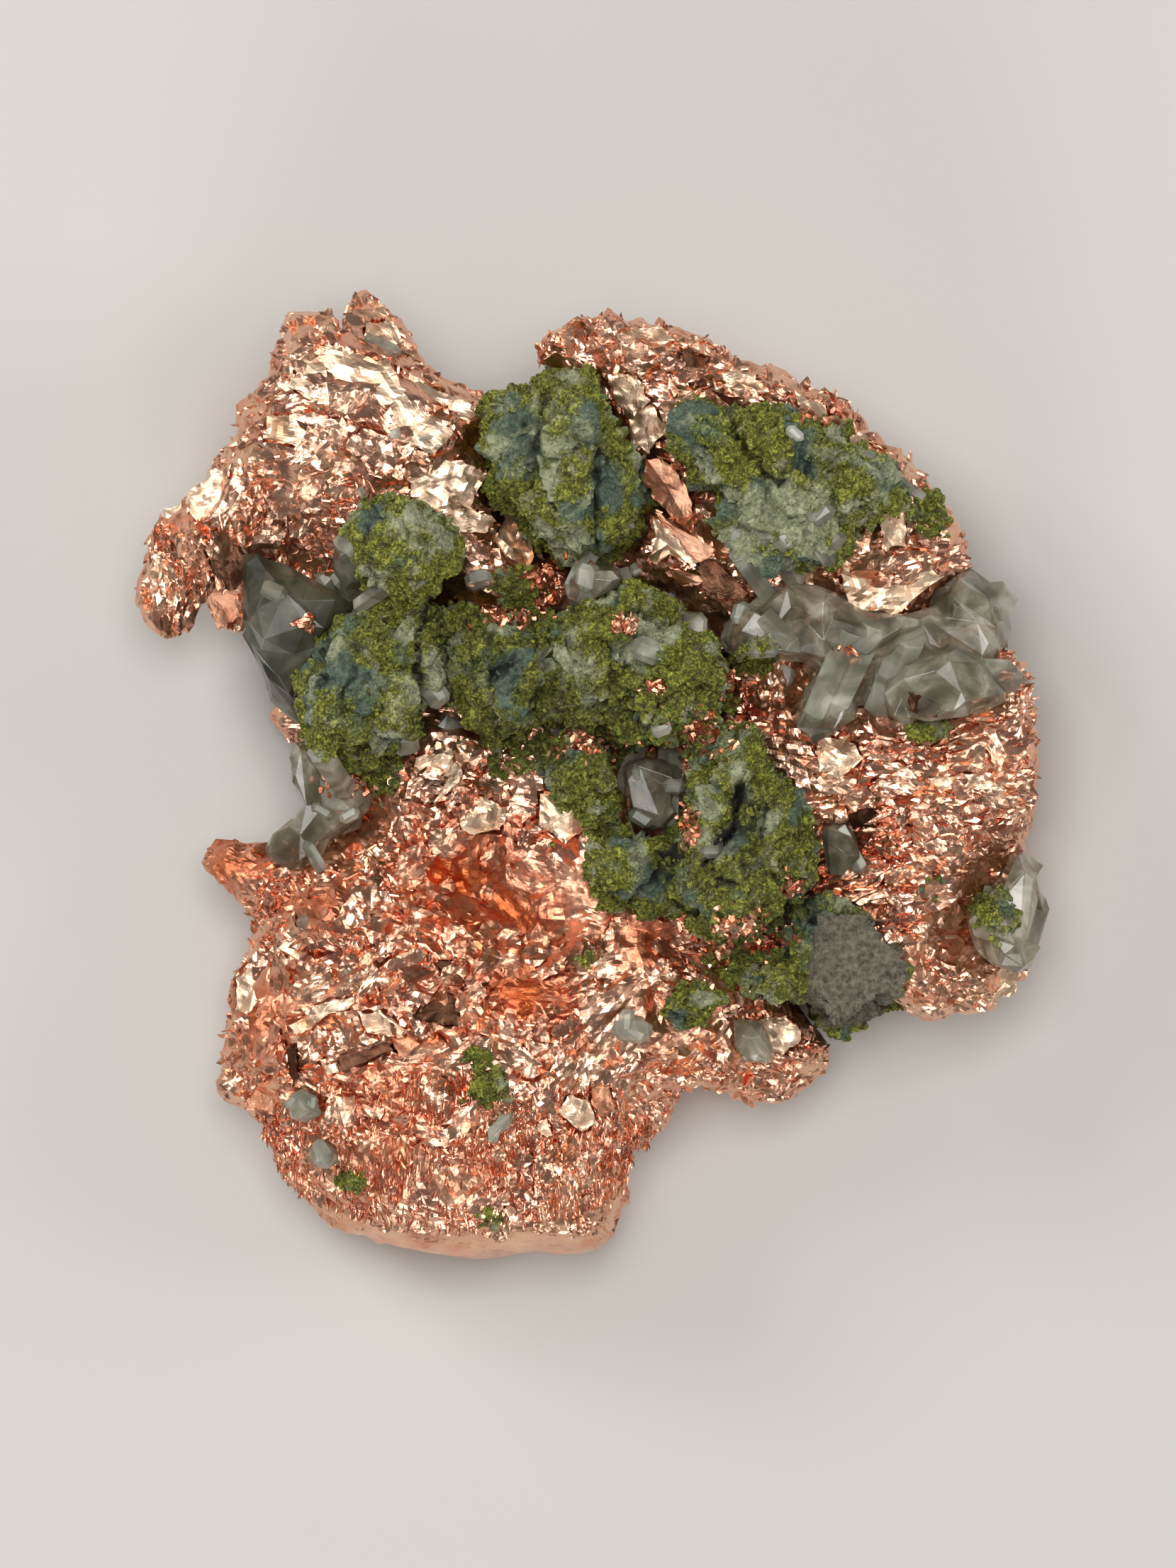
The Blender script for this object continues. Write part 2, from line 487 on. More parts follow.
# The green rock: matted grains in lumps, with cracks, blue-green and pale patches and one grey flat face
greenRock = {
    "voxel": 0.25,
    "nodes": [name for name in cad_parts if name.startswith("epidote")],
    "crackReach": 0.3,  # mm from its line to where it ends
    "crackDepth": 1.5,
    "cracks": [
        [(-2.4, 27.1), (-3.7, 23.5), (-3.95, 20.1)],
        [(0.7, 22.8), (0.8, 16.8)],
        [(-2.65, 9.95), (-2.9, 7.95), (-3.6, 5.8), (-3.75, 4.9)],
        [(15.5, -7.4), (16, -10.9)],
        [(-11, 12.4), (-11.8, 9), (-11.5, 6)],
        [(-18, 11), (-18.6, 8)],
        [(-10.4, 12.4), (-9.6, 9.1), (-10.4, 5.2)],
        [(1.8, 1.9), (2.9, -0.9)],
        [(10.6, -0.3), (10.1, -3.6), (8.4, -5.8)],
        [(-14.8, 19.6), (-15.4, 16.3), (-14.3, 13)],
        [(9.6, 26), (11, 22.6), (13.4, 20.4)],
    ],
    # patches: centre, reach across and up, strength
    "teal": [(-4.8, 24, 1.6, 3, 0.8), (1.2, 20.2, 1.5, 1.8, 0.7), (8.4, 24, 2.4, 1.8, 0.5),
             (-17.6, 7.4, 2.2, 3, 0.65), (-6, 7.4, 1.8, 1.8, 0.4), (15.6, -9.7, 2, 3, 0.8)],
    "pale": [(-1, 16.8, 1.8, 1.6, 0.9), (-2, 23.5, 3, 3.5, 0.45), (14, 18.2, 5, 3.2, 0.9),
             (-11.8, 17.4, 1.5, 2.4, 0.9), (-12, 6.3, 2, 2.5, 0.7), (-1, 8, 1.8, 2.6, 0.7),
             (4.5, 9.9, 1.8, 2, 0.7), (8.7, -4.7, 1.8, 1.6, 0.8), (21, 22, 2.5, 2, 0.6)],
    "shaded": [(-4, 5, 12, 7, 0.36), (12, -7, 9, 8, 0.26)],
    "flatFace": [(16.1, -9.4), (19.2, -9.4), (20.7, -9.9), (22, -11.7), (22.6, -13.2), (22, -15.3),
                 (20.7, -17.2), (18.2, -17.3), (16.6, -17.6), (15.4, -15.8), (15.6, -13)],
    "flatFloor": 8,  # mm, above which it is grey
    "flatDepth": 1.3,  # mm below the lump's top
    "flatReach": 1.6,  # mm below that, which is planed too
    "flatGrit": 0.15,  # mm
    "flatLean": 0.06,  # rise up the plan, as a share
    "flatMiddle": -13,
    "drawnIn": 1.3,  # mm, below the foot line, on faces that look down the plan: keeps off the copper
    "footLine": -15.0,
}


def lineDistance(x, y, line):
    # from a place on the plan to a line of several stretches, in mm
    best = math.inf
    for (ax, ay), (bx, by) in zip(line, line[1:]):
        dx, dy = bx - ax, by - ay
        along = max(0.0, min(1.0, ((x - ax) * dx + (y - ay) * dy) / (dx * dx + dy * dy)))
        best = min(best, math.hypot(x - ax - along * dx, y - ay - along * dy))
    return best


def crackDepth(place):
    # 1 in the middle of a crack and 0 beside it
    wobble = 0.5 * noise.noise(place / 0.9)
    nearest = min(lineDistance(place.x - photoShift.x + wobble, place.y - photoShift.y + wobble, line)
                  for line in greenRock["cracks"])
    return max(0.0, 1.0 - nearest / greenRock["crackReach"])


def greenHeight(place, normal):
    # lumps with clefts between them, broken into blocks, and cracked on the upper side
    lumps = 0.9 * noise.noise(place / 3.1) + 0.4 * noise.noise(place / 1.4) + 0.25
    clefts = 2.2 * max(0.0, 0.16 - abs(noise.noise(place / 2.9 + Vector((3, 8, 1)))))
    blocks = facet(place, 1.7, 0.9, 0.4, (1, 1, 1)) + facet(place, 0.8, 0.45, 0.4, (1, 1, 1))
    crack = crackDepth(place) if normal.z > 0.1 else 0.0
    return lumps - 2 * clefts + blocks + 0.12 * noise.noise(place / 0.4) - greenRock["crackDepth"] * crack


def onFlatFace(place):
    return inside(place.x, place.y, greenRock["flatFace"]) and place.z > greenRock["flatFloor"]


def greenDark(place):
    # darker in hollows, and in the shaded stretches between the lumps
    hollows = -1.1 * greenHeight(place + photoShift, Vector((0, 0, 1))) - 0.1
    return 0.0 if onFlatFace(place) else hollows + spots(place, greenRock["shaded"])


def tealAt(place):
    # strength of the blue-green stone: the patches seen in the photo, and drifts between them
    drift = 2.4 * noise.noise((place + Vector((40, 0, 0))) / 2.8) - 0.35
    return spots(place, greenRock["teal"]) + max(0.0, drift)


def paleAt(place):
    # the same for the pale stone
    drift = 2.4 * noise.noise((place + Vector((0, 40, 0))) / 2.3) - 0.3
    return spots(place, greenRock["pale"]) + max(0.0, drift)


def greenSkin(place, normal):
    drawnIn = greenRock["drawnIn"] if place.y < greenRock["footLine"] and normal.y < 0 else 0.0
    return greenHeight(place, normal) - drawnIn


greenMeshes = []
for nodeName in greenRock["nodes"]:
    body = toBody(changed(nodeMesh(nodeName), "REMESH", mode="VOXEL", voxel_size=greenRock["voxel"] * mm))
    sculpt(body, greenSkin)
    if nodeName == "epidote_end":
        flatTop = max(vertex.co.z for vertex in body.verts) - greenRock["flatDepth"] * mm
        for vertex in body.verts:
            x, y = vertex.co.x / mm - photoShift.x, vertex.co.y / mm - photoShift.y
            if vertex.co.z > flatTop - greenRock["flatReach"] * mm and inside(x, y, greenRock["flatFace"]):
                rise = greenRock["flatGrit"] * noise.noise(vertex.co / mm / 0.35)
                rise += greenRock["flatLean"] * (y - greenRock["flatMiddle"])
                vertex.co.z = flatTop + rise * mm
    mesh = toMesh(body, nodeName)
    storeShade(mesh, "depth", greenDark)
    storeShade(mesh, "teal", tealAt)
    storeShade(mesh, "pale", lambda place: 0.8 * paleAt(place))
    storeShade(mesh, "grey", onFlatFace)
    addPiece(nodeName + "_rock", mesh, "granular epidote", nodeName)
    greenMeshes.append(mesh)

# The quartz: flat breaks and crystal faces between crisp, slightly worn edges
quartz = {
    "nodes": [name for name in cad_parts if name.startswith("quartz")],
    "voxel": 0.5,  # mm, for the largest pieces; the small ones' breaks are finer
    "kept": 0.09,  # of the triangles, for flat breaks
    "flatAngle": 17,  # degrees between faces that become one
    "wear": 0.06,
    "dark": ["quartz_left_flank", "quartz_near_knob", "quartz_tall"],
    # mm outward, for pieces that the flat breaks would wear down too far
    "swelling": {"quartz_neck": 0.45, "quartz_grain_green_heart": 0.2, "quartz_grain_needle": 0.15},
}


def quartzFinish(nodeName):
    if nodeName in quartz["dark"]:
        return "dark clear quartz"
    return "pale clear quartz" if "grain" in nodeName else "milky vein quartz"


quartzMeshes = []
for nodeName in quartz["nodes"]:
    low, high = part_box(nodeName)
    coarseness = min(1.0, 0.3 + 0.1 * (high[1] - low[1]) / mm)
    swelling = quartz["swelling"].get(nodeName, 0.0)
    voxel = quartz["voxel"] * coarseness
    body = toBody(changed(nodeMesh(nodeName), "REMESH", mode="VOXEL", voxel_size=voxel * mm))
    sculpt(body, lambda place, _: swelling + coarseness * facet(place, 3.0, 0.35, 0.35, (1, 1, 1)))
    mesh = changed(toMesh(body, nodeName), "DECIMATE", ratio=quartz["kept"])
    mesh = changed(mesh, "DECIMATE", decimate_type="DISSOLVE", angle_limit=math.radians(quartz["flatAngle"]))
    mesh = changed(mesh, "BEVEL", width=quartz["wear"] * mm, segments=2, limit_method="ANGLE")
    mesh.shade_flat()
    addPiece(nodeName + "_crystal", mesh, quartzFinish(nodeName), nodeName)
    quartzMeshes.append(mesh)


def coverOf(meshes):
    # one search tree over several meshes
    points, faces = [], []
    for mesh in meshes:
        start = len(points)
        points += [vertex.co.copy() for vertex in mesh.vertices]
        faces += [[start + corner for corner in polygon.vertices] for polygon in mesh.polygons]
    return BVHTree.FromPolygons(points, faces)


copperCover = coverOf([copperMesh])
stoneCover = coverOf(greenMeshes + quartzMeshes)


def topOf(tree, x, y):
    # height in metres of what a tree holds at a place on the plan, or 0 beside it
    spot = (Vector((x, y, 0)) + photoShift) * mm
    hit = tree.ray_cast(Vector((spot.x, spot.y, 0.1)), Vector((0, 0, -1)))[0]
    return hit.z if hit else 0.0


def topAt(x, y):
    return max(topOf(copperCover, x, y), topOf(stoneCover, x, y))


def crumple(place):
    # sharp creases between nearly flat panes
    return 1 - 3 * abs(noise.noise(place / 1.9)) - 0.35 * abs(noise.noise(place / 0.7 + Vector((5, 0, 0))))


scratch = bpy.data.meshes.new("scratch")
batch = 200  # shapes, after which a part is poured, because it grows slow


def pour(part, whole):
    # moves what part holds into whole
    part.to_mesh(scratch)
    whole.from_mesh(scratch)
    part.clear()


def addPlate(body, splits, ring, lift, crease, leanX, leanY):
    # a thin crumpled plate with a ragged edge, laid over what is under its outline
    steepest, follows = copperPlates["steepest"] * mm, copperPlates["follows"]
    tops = [topAt(x, y) for x, y in ring]
    level = sum(tops) / len(tops)
    middleX, middleY, _ = ringSpan(ring)
    small = bmesh.new()
    corners = []
    for (x, y), top in zip(ring, tops):
        rise = lift + leanX * (x - middleX) + leanY * (y - middleY)
        top = level + max(min(top - level, steepest), -steepest)
        spot = (Vector((x, y, rise)) + photoShift) * mm
        corners.append(small.verts.new((spot.x, spot.y, spot.z + follows * top + (1 - follows) * level)))
    small.faces.new(corners)
    bmesh.ops.poke(small, faces=small.faces[:], offset=copperPlates["crown"] * lift * mm)
    for _ in range(splits):
        bmesh.ops.subdivide_edges(small, edges=small.edges[:], cuts=1, use_grid_fill=True)
    for vertex in small.verts:
        place = vertex.co / mm
        wander = copperPlates["ragged"] if vertex.is_boundary else copperPlates["rough"]
        vertex.co += wander * noise.noise_vector(place / 0.6) * mm
        vertex.co.z += 0.6 * crease * crumple(place) * mm
    under = bmesh.ops.extrude_face_region(small, geom=small.faces[:], use_keep_orig=True)["geom"]
    for element in under:
        if isinstance(element, bmesh.types.BMVert):
            element.co.z -= copperPlates["thickness"] * mm
    bmesh.ops.recalc_face_normals(small, faces=small.faces[:])
    pour(small, body)


for kind in plateKinds:
    body = bmesh.new()
    for plate in copperPlates[kind]:
        addPlate(body, copperPlates["splits"], *plate)
    mesh = toMesh(body, kind + " plates")
    storeShade(mesh, "depth", lambda place: 0.1 - 0.6 * crumple(place + photoShift))
    storeShade(mesh, "warm", lambda place: 0.2 * spots(place, copperSkin["warm"]))
    addPiece(kind + "Plates", mesh, kind + " copper plate")

# Smaller leaves of the same metal between the named plates. Areas: centre, reach, count, radius in mm,
# how drawn out they are and which way in degrees, and the most they lean.
copperLeaves = {
    "seed": 23,
    "corners": 6,
    "outline": (0.6, 1.1),  # where a corner stands, as a share of the radius
    "wander": 30,  # degrees off their way
    "splits": 2,
    "lift": (0.1, 0.45),
    "crease": 0.25,
    "areas": [
        ((-16, 23), (10, 8), 34, (0.9, 2.2), 1.5, 10, 0.25),
        ((-19, 15), (6, 4), 12, (0.5, 1.2), 1.6, 60, 0.4),
        ((-26, 17), (4, 5), 9, (0.7, 1.5), 1.8, 90, 0.5),
        ((10, 25), (16, 8), 52, (0.8, 1.9), 1.4, 30, 0.5),
        ((25, 0), (8, 16), 80, (0.8, 1.9), 2.2, 5, 0.4),
        ((-9, -1), (8, 5), 22, (0.8, 1.8), 1.4, 40, 0.3),
        ((-14, -16), (12, 10), 90, (0.6, 1.7), 1.6, 40, 0.6),
        ((-3, -29), (6, 4), 22, (0.5, 1.1), 1.8, 70, 0.4),
        ((10, -15), (12, 7), 36, (0.6, 1.5), 1.4, 30, 0.4),
        ((8, 6), (10, 13), 16, (0.5, 1.2), 1.4, 30, 0.4),
    ],
}
randoms = random.Random(copperLeaves["seed"])
body = bmesh.new()
for (x, y), (across, up), count, radii, drawn, heading, lean in copperLeaves["areas"]:
    for _ in range(count):
        angle, reach = randoms.uniform(0, math.tau), math.sqrt(randoms.random())
        leafX, leafY = x + across * reach * math.cos(angle), y + up * reach * math.sin(angle)
        radius = randoms.uniform(*radii)
        turn = math.radians(heading + randoms.gauss(0, copperLeaves["wander"]))
        leans = randoms.uniform(-lean, lean), randoms.uniform(-lean, lean)
        ring = []
        for corner in range(copperLeaves["corners"]):
            way = math.tau * corner / copperLeaves["corners"]
            out = radius * randoms.uniform(*copperLeaves["outline"])
            along, side = out * math.sqrt(drawn) * math.cos(way), out / math.sqrt(drawn) * math.sin(way)
            ring.append((leafX + along * math.cos(turn) - side * math.sin(turn),
                         leafY + along * math.sin(turn) + side * math.cos(turn)))
        lift = randoms.uniform(*copperLeaves["lift"])
        if all(topOf(copperCover, *corner) > max(topOf(stoneCover, *corner), 3 * mm) for corner in ring):
            addPlate(body, copperLeaves["splits"], ring, lift, copperLeaves["crease"], *leans)
mesh = toMesh(body, "copper leaves")
storeShade(mesh, "depth", lambda place: 0.1 - 0.5 * crumple(place + photoShift))
storeShade(mesh, "warm", lambda place: 0.6 * spots(place, copperSkin["warm"]) + 0.5 * noise.noise(place / 3))
addPiece("copperLeaves", mesh, "hackly native copper")

# Loose-edged chips of copper all over the skin. Areas: centre and reach, count, then ranges of length
# and width in mm, the way they run and how much that varies in degrees, and the most they tilt.
copperChips = {
    "seed": 11,
    "thickness": 0.1,
    "corners": 5,
    "lowest": 1.6,  # mm above the table
    "clear": 2.5,  # mm off the skin that no stone may be
    "smooth": 0.62,  # the glow of a hollow that has no chips
    "areas": [
        ("wing", (-16, 22), (11, 9), 260, (0.6, 1.9), (0.25, 0.7), 0, 35, 25),
        ("wing_low", (-17, 17), (7, 4), 420, (0.6, 1.6), (0.12, 0.22), 60, 60, 30),
        ("claw", (-27, 17), (5, 6), 130, (0.6, 1.8), (0.25, 0.6), 90, 30, 30),
        ("ridge", (10, 25), (17, 9), 420, (0.6, 2.0), (0.3, 0.9), 20, 90, 35),
        ("wall", (25, 0), (9, 17), 560, (0.9, 2.8), (0.25, 0.8), 5, 22, 30),
        ("neck", (-9, -1), (9, 6), 160, (0.6, 1.8), (0.3, 0.8), 30, 70, 30),
        ("lobe", (-14, -16), (13, 11), 640, (0.5, 1.8), (0.25, 0.8), 60, 90, 40),
        ("grass", (-10, -26.5), (15, 6), 2400, (0.6, 1.6), (0.08, 0.18), 90, 14, 24),
        ("foot", (10, -15), (12, 8), 300, (0.5, 1.6), (0.25, 0.7), 30, 90, 35),
        ("middle", (8, 6), (10, 14), 240, (0.5, 1.4), (0.2, 0.6), 30, 90, 35),
        ("edge", (0, 0), (45, 45), 900, (0.5, 1.5), (0.3, 0.9), 30, 90, 22),
    ],
}


def addChip(body, place, normal, sizes, running, tilt):
    # a small tapered disc, tilted a little from the surface that it grows on
    lean = Vector((math.cos(running), math.sin(running), 0))
    side = normal.cross(lean).normalized()
    turned = Matrix.Rotation(tilt[0], 3, side) @ Matrix.Rotation(tilt[1], 3, lean)
    up = turned @ normal
    side = up.cross(lean).normalized()
    along = side.cross(up)
    matrix = Matrix((along * sizes[0], side * sizes[1], up * sizes[2])).transposed().to_4x4()
    matrix.translation = place
    bmesh.ops.create_cone(body, cap_ends=True, segments=copperChips["corners"], radius1=0.5 * mm,
                          radius2=0.36 * mm, depth=1.0 * mm, matrix=matrix)


def onHackles(place):
    # neither in the smooth hollows nor on the rolled rim
    rim = -31.9 + 0.02 * (place.x + 9) ** 2
    return spots(place, copperSkin["warm"]) < copperChips["smooth"] and place.y > rim


def scatterChips(randoms, area):
    # chips on one area's skin; those of the edge stand on steep faces alone
    name, (x, y), (across, up), count, lengths, widths, running, spread, tilt = area
    whole, part = bmesh.new(), bmesh.new()
    made = 0
    faces = [face for face in copperMesh.polygons
             if ((face.center.x / mm - x) / across) ** 2 + ((face.center.y / mm - y) / up) ** 2 < 1
             and -0.4 < face.normal.z < (0.5 if name == "edge" else 2)
             and face.center.z > copperChips["lowest"] * mm
             and not underPlate(face.center / mm) and onHackles(face.center / mm - photoShift)]
    for _ in range(count):
        face = randoms.choice(faces)
        stone = stoneCover.ray_cast(face.center, face.normal, copperChips["clear"] * mm)[0]
        length, width = randoms.uniform(*lengths), randoms.uniform(*widths)
        heading = math.radians(running + randoms.uniform(-spread, spread))
        tilts = [math.radians(randoms.uniform(-tilt, tilt)) for _ in range(2)]
        if stone:
            continue
        normal = (face.normal + Vector((0, 0, 0.6))).normalized()
        addChip(part, face.center + normal * 0.05 * mm, normal, (length, width, copperChips["thickness"]),
                heading, tilts)
        made += 1
        if made % batch == 0:
            pour(part, whole)
    pour(part, whole)
    return whole


randoms = random.Random(copperChips["seed"])
for area in copperChips["areas"]:
    mesh = toMesh(scatterChips(randoms, area), area[0] + " chips")
    storeShade(mesh, "depth", lambda place: 0.2 + 0.8 * noise.noise(place / 0.7))
    storeShade(mesh, "warm", lambda place: 0.7 * spots(place, copperSkin["warm"]))
    addPiece(area[0] + "_chips", mesh, "hackly native copper")

# Hackly copper that pushes out between the stones: centre, reach and count
copperTufts = {
    "seed": 31,
    "height": 0.7,  # mm
    "lengths": (0.5, 1.3),
    "widths": (0.25, 0.7),
    "thickness": 0.15,
    "lean": 0.35,
    "tufts": [
        ((0.1, 2.7), (2.1, 1.2), 120), ((2.7, 10.7), (0.9, 0.8), 40), ((8.4, 3.6), (2.2, 1.8), 120),
        ((5, 6.5), (0.9, 0.4), 20), ((-0.3, 14.9), (0.5, 0.3), 10), ((-2.9, 13.6), (1.2, 2), 90),
        ((-5.6, 11.4), (2.4, 0.7), 70), ((11.5, -10.5), (2.6, 1.7), 150), ((7.2, -3.3), (0.6, 1.6), 40),
        ((10.6, 7), (0.9, 1.2), 40), ((14.4, -7.4), (0.9, 0.7), 30), ((-19.6, 11), (0.8, 0.6), 20),
        ((18, 8.6), (1, 0.6), 24), ((-17, -0.4), (1.6, 0.8), 40), ((16.6, 25.6), (2, 0.8), 40),
    ],
}
randoms = random.Random(copperTufts["seed"])
whole, part = bmesh.new(), bmesh.new()
for (x, y), (across, up), count in copperTufts["tufts"]:
    for _ in range(count):
        chipX, chipY = randoms.gauss(x, 0.5 * across), randoms.gauss(y, 0.5 * up)
        reach = math.hypot((chipX - x) / across, (chipY - y) / up)
        rise = copperTufts["height"] * max(0.0, 1 - reach) * randoms.random()
        place = (Vector((chipX, chipY, topAt(chipX, chipY) / mm + rise)) + photoShift) * mm
        leans = [randoms.gauss(0, copperTufts["lean"]) for _ in range(2)]
        sizes = [randoms.uniform(*copperTufts[name]) for name in ("lengths", "widths")]
        addChip(part, place, Vector((*leans, 1)).normalized(), (*sizes, copperTufts["thickness"]),
                randoms.uniform(0, math.pi), (0.0, 0.0))
    pour(part, whole)
mesh = toMesh(whole, "copper tufts")
storeShade(mesh, "depth", lambda place: 0.2 + 0.8 * noise.noise(place / 0.7))
storeShade(mesh, "warm", lambda place: 0.2 + 0.5 * noise.noise(place / 1.5))
addPiece("copperTufts", mesh, "hackly native copper")

# Crystal grains of epidote crusting the green lumps, and straying onto what lies round them
greenGrains = {
    "seed": 5,
    "count": 8500,
    "sizes": (0.18, 0.62),
    "crustCount": 2500,
    "crustSizes": (0.3, 0.95),
    # centre and reach of the crusts
    "crusts": [
        (-4.5, 2.4, 3, 2), (0, 0.4, 2.6, 3.4), (-9.8, 9.6, 2.4, 1.6), (2.4, 4, 3.4, 1.6),
        (13.4, -8.8, 2.4, 2), (11.6, -13.4, 2.6, 1.4), (-4.9, 13.2, 1.5, 1.5), (8.6, 4.6, 1.6, 2.6),
        (-12.6, 12.4, 1.6, 1.8), (24, 18.6, 1.2, 1.8), (24, 3.4, 1.2, 0.6), (-14.4, 1, 1.2, 1.6),
        (18, 20.4, 3, 1), (-16.5, -28.2, 0.9, 0.5), (-6.7, -30.8, 0.7, 0.6), (0.1, -12.7, 0.4, 0.4),
        (28.6, -9, 1.2, 1.6), (24.6, -7.6, 0.7, 0.6), (-7.5, -19.1, 0.6, 0.3), (-7, -21.4, 1.1, 1.5),
        (11.8, 8.6, 1.4, 1),
    ],
}
randoms = random.Random(greenGrains["seed"])
faces = [(face.center.copy(), face.normal.copy()) for mesh in greenMeshes for face in mesh.polygons
         if face.normal.z > -0.2 and not onFlatFace(face.center / mm - photoShift)
         and (face.normal.z < 0.1 or crackDepth(face.center / mm) == 0)]
whole, part = bmesh.new(), bmesh.new()
for number in range(greenGrains["count"] + greenGrains["crustCount"]):
    centre, normal = randoms.choice(faces)
    size = randoms.uniform(*greenGrains["sizes"])
    plan = centre / mm - photoShift
    if number < greenGrains["count"] and randoms.random() < max(tealAt(plan), paleAt(plan)):
        continue
    if number >= greenGrains["count"]:
        x, y, across, up = randoms.choice(greenGrains["crusts"])
        x, y = randoms.gauss(x, 0.5 * across), randoms.gauss(y, 0.5 * up)
        centre = (Vector((x, y, topAt(x, y) / mm)) + photoShift) * mm
        normal = Vector((0, 0, 1))
        size = randoms.uniform(*greenGrains["crustSizes"]) * min(1.0, 0.5 + 0.3 * across)
    turn = Vector([randoms.uniform(-1, 1) for _ in range(3)]).to_track_quat("Z", "Y").to_matrix()
    matrix = (turn @ Matrix.Diagonal((size, size * randoms.uniform(0.6, 1.0), size * 1.5))).to_4x4()
    matrix.translation = centre + normal * randoms.uniform(-0.05, 0.15) * mm
    bmesh.ops.create_cone(part, cap_ends=True, segments=5, radius1=0.5 * mm, radius2=0.25 * mm,
                          depth=0.8 * mm, matrix=matrix)
    if number % batch == batch - 1:
        pour(part, whole)
pour(part, whole)
mesh = toMesh(whole, "green grains")
storeShade(mesh, "depth", lambda place: crackDepth(place + photoShift) + 0.5 * noise.noise(place / 0.4)
           + spots(place, greenRock["shaded"]))
storeShade(mesh, "teal", lambda place: 0.6 * tealAt(place))
storeShade(mesh, "pale", lambda place: 0.6 * paleAt(place))
storeShade(mesh, "grey", onFlatFace)
addPiece("greenGrains", mesh, "granular epidote")

# Single quartz crystals: foot and tip on the plan, radius and how far the tip rises, in mm
quartzCrystals = {
    "crystals": [
        ((20, 7.4), (29.6, 6.9), 2.2, 0.5), ((20, 10.8), (17.5, 5.4), 1.3, 0.4),
        ((18.4, 10.4), (15.9, 4.6), 1.1, 0.3), ((22.6, 10), (20.6, 5), 1.5, 0.6),
        ((25, 12), (29.2, 12.6), 2, 0.4), ((12.6, 17.6), (14.6, 14.2), 1.2, 0.6),
        ((15.2, 18), (17, 15.4), 1, 0.5), ((10.6, 15.8), (12.6, 13), 0.9, 0.4),
        ((0.2, 15.8), (-1, 13.4), 0.9, 0.4), ((2.4, 14.6), (3.4, 12.4), 0.8, 0.4),
        ((-16.4, 16), (-14.2, 18.4), 1.1, 0.5), ((-17.4, 13.8), (-15.6, 15.2), 0.9, 0.4),
        ((-13.6, 13.6), (-15.8, 12.2), 0.8, 0.4), ((5.6, 1.6), (7, -1.2), 0.9, 0.3),
        ((3.6, 2.4), (2.6, -0.6), 0.9, 0.4), ((17.6, -3.4), (19.2, -6.2), 0.8, 0.3),
        ((12.4, 11.4), (14.4, 9.4), 1, 0.4), ((-11.8, 23.6), (-9.8, 24.2), 0.7, 0.4),
        ((-14.2, 22.8), (-13.2, 24.2), 0.5, 0.3), ((-15.4, 30.8), (-13.4, 30), 0.7, 0.4),
        ((23.4, 19.6), (21.6, 21), 0.8, 0.4), ((-18.6, -6.4), (-19.6, -4.6), 0.6, 0.3),
        ((5.9, 2.2), (5.7, -2.8), 1.1, 0.4), ((-18.6, 2), (-17, -0.6), 1.1, 0.4),
    ],
    "seed": 3,
    # blocks bedded in the rock: centre and radius
    "blocks": [
        (0.2, 14, 1.3), (3.6, 14.8, 0.7), (5.7, 13, 1), (7.6, 10.5, 1.5), (4.4, 9, 1.6),
        (5.2, 3.7, 1), (3.4, 2.3, 0.8), (-2.2, 3.6, 1.1), (-7.6, 14, 1.3), (-9.8, 3.8, 1.5),
        (-6.1, 2.1, 1.2), (8.7, -4.7, 1.1), (6.2, -0.3, 1.2), (4, -2.5, 1.2), (-16.5, 16.3, 1.4),
        (-18.1, 14.1, 1.3), (-22, 13, 1.2), (10.4, 16.8, 1.2), (16.2, 18.5, 1.2), (19.5, 22.4, 0.9),
        (14.5, 24, 0.9), (-16.2, -13.5, 0.9), (-19.8, -10.3, 1), (-20.5, -22.7, 0.7),
        (-19.2, -22.6, 0.7), (-18.5, -26, 1.1), (2.8, -16.9, 1.1), (-10.6, 6, 1.3), (12.4, 9.4, 1.4),
        (14, 7.4, 1.2), (10.8, 11.6, 1.2), (-15.4, 20, 0.8), (20.4, 6.6, 1.3), (24.6, -6, 0.6),
        (-17.5, -0.5, 1.2), (-16.6, -2.4, 1), (-18.6, -2.2, 1), (3.6, 0.4, 1.1), (13.6, 16.6, 1.1),
        (17.4, 16.6, 0.9), (-14.6, 12.2, 1.1), (-12.6, 2.6, 1.2),
    ],
    "tip": 0.8,  # length of the point as a share of the radius
    "wear": 0.05,
}
body = bmesh.new()
for (footX, footY), (tipX, tipY), radius, rise in quartzCrystals["crystals"]:
    small = bmesh.new()
    foot = Vector(((footX + photoShift.x) * mm, (footY + photoShift.y) * mm,
                   topAt(footX, footY) - 0.5 * radius * mm))
    tip = Vector(((tipX + photoShift.x) * mm, (tipY + photoShift.y) * mm,
                  min(topAt(tipX, tipY), foot.z + radius * mm) + (rise - 0.4 * radius) * mm))
    span = tip - foot
    matrix = span.to_track_quat("Z", "Y").to_matrix().to_4x4()
    matrix.translation = (foot + tip) / 2
    bmesh.ops.create_cone(small, cap_ends=True, segments=6, radius1=radius * 0.9 * mm,
                          radius2=radius * 0.8 * mm, depth=span.length, matrix=matrix)
    end = max((face for face in small.faces if len(face.verts) == 6),
              key=lambda face: face.calc_center_median().dot(span))
    bmesh.ops.poke(small, faces=[end], offset=quartzCrystals["tip"] * radius * mm)
    bmesh.ops.bevel(small, geom=small.edges[:], offset=quartzCrystals["wear"] * mm, segments=2, profile=0.5,
                    affect="EDGES", material=-1)
    pour(small, body)
randoms = random.Random(quartzCrystals["seed"])
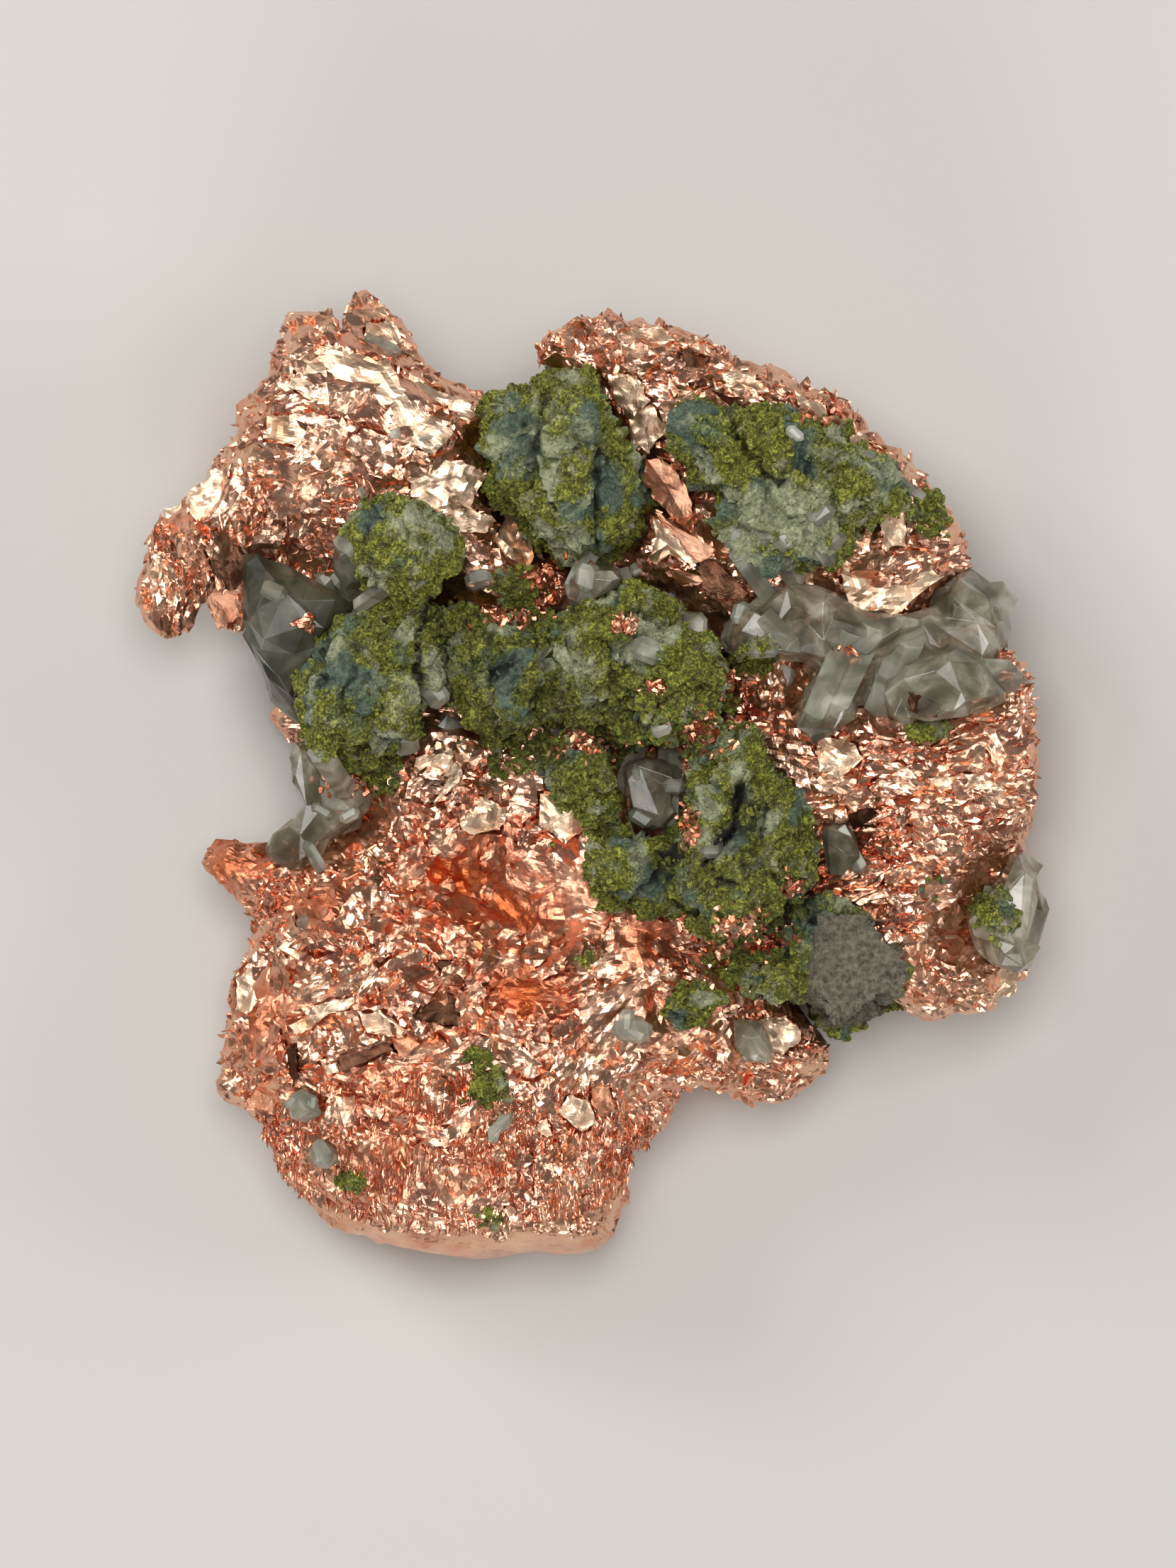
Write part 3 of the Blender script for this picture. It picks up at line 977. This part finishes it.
for x, y, radius in quartzCrystals["blocks"]:
    small = bmesh.new()
    turn = Vector([randoms.uniform(-1, 1) for _ in range(3)]).to_track_quat("Z", "Y").to_matrix()
    flat = Matrix.Diagonal((radius, radius * randoms.uniform(0.7, 1.1), radius * 0.7))
    matrix = (turn @ flat).to_4x4()
    matrix.translation = (Vector((x, y, topAt(x, y) / mm - 0.45 * radius)) + photoShift) * mm
    bmesh.ops.create_cube(small, size=1.5 * mm, matrix=matrix)
    for vertex in small.verts:
        vertex.co += 0.3 * radius * mm * noise.noise_vector(vertex.co / mm * 3.3)
    bmesh.ops.bevel(small, geom=small.edges[:], offset=0.3 * radius * mm, segments=1, profile=0.5,
                    affect="EDGES", material=-1)
    pour(small, body)
addPiece("quartzCrystals", toMesh(body, "crystals"), "pale clear quartz")

# Pale table, soft studio lights and the camera, which looks straight down on the specimen
studio = {
    "floor": "#cfccc6",
    "world": 0.16,
    "lights": [
        # place and size in metres, watts
        ((-0.02, 0.07, 0.50), 0.22, 1.3),
        ((-0.28, 0.22, 0.26), 0.18, 0.75),
        ((0.30, 0.04, 0.20), 0.16, 0.35),
        ((-0.06, -0.32, 0.20), 0.16, 0.40),
    ],
    "lens": 250.0,
    "sensor": 36.0,
    "photoHeight": 110.6,  # mm that the photo's height spans at the specimen
    "aim": (0.125, -0.3, 12.0),
}
body = bmesh.new()
bmesh.ops.create_grid(body, x_segments=1, y_segments=1, size=3.0)
floorMesh = toMesh(body, "floor")
floor = bpy.data.objects.new("floor", floorMesh)
bpy.context.scene.collection.objects.link(floor)
floorFinish, tree, place = startMaterial("pale table paper")
finishMaterial(tree, Base_Color=linear(studio["floor"]), Roughness=0.85,
               Normal=addNode(tree, "ShaderNodeBump", Height=cloud(tree, place, 0.6), Strength=0.12,
                              Distance=0.1 * mm))
floorMesh.materials.append(floorFinish)

for number, (place, size, power) in enumerate(studio["lights"]):
    lamp = bpy.data.lights.new("softbox%d" % number, "AREA")
    lamp.shape = "SQUARE"
    lamp.size = size
    lamp.energy = power
    lampObject = bpy.data.objects.new(lamp.name, lamp)
    lampObject.location = place
    lampObject.rotation_euler = (Vector((0, 0, 0.012)) - Vector(place)).to_track_quat("-Z", "Y").to_euler()
    bpy.context.scene.collection.objects.link(lampObject)

world = bpy.data.worlds.new("studio")
world.use_nodes = True
background = world.node_tree.nodes["Background"]
background.inputs["Color"].default_value = linear("#f4f1ec")
background.inputs["Strength"].default_value = studio["world"]
bpy.context.scene.world = world

camera = bpy.data.cameras.new("camera")
camera.lens = studio["lens"]
camera.sensor_width = studio["sensor"]
camera.clip_start = 0.01
cameraObject = bpy.data.objects.new("camera", camera)
aim = (Vector(studio["aim"]) + photoShift) * mm
distance = studio["photoHeight"] * mm * studio["lens"] / studio["sensor"]
cameraObject.location = aim + Vector((0, 0, distance))
bpy.context.scene.collection.objects.link(cameraObject)
bpy.context.scene.camera = cameraObject
bpy.context.scene.view_settings.view_transform = "Standard"
print("studio set")
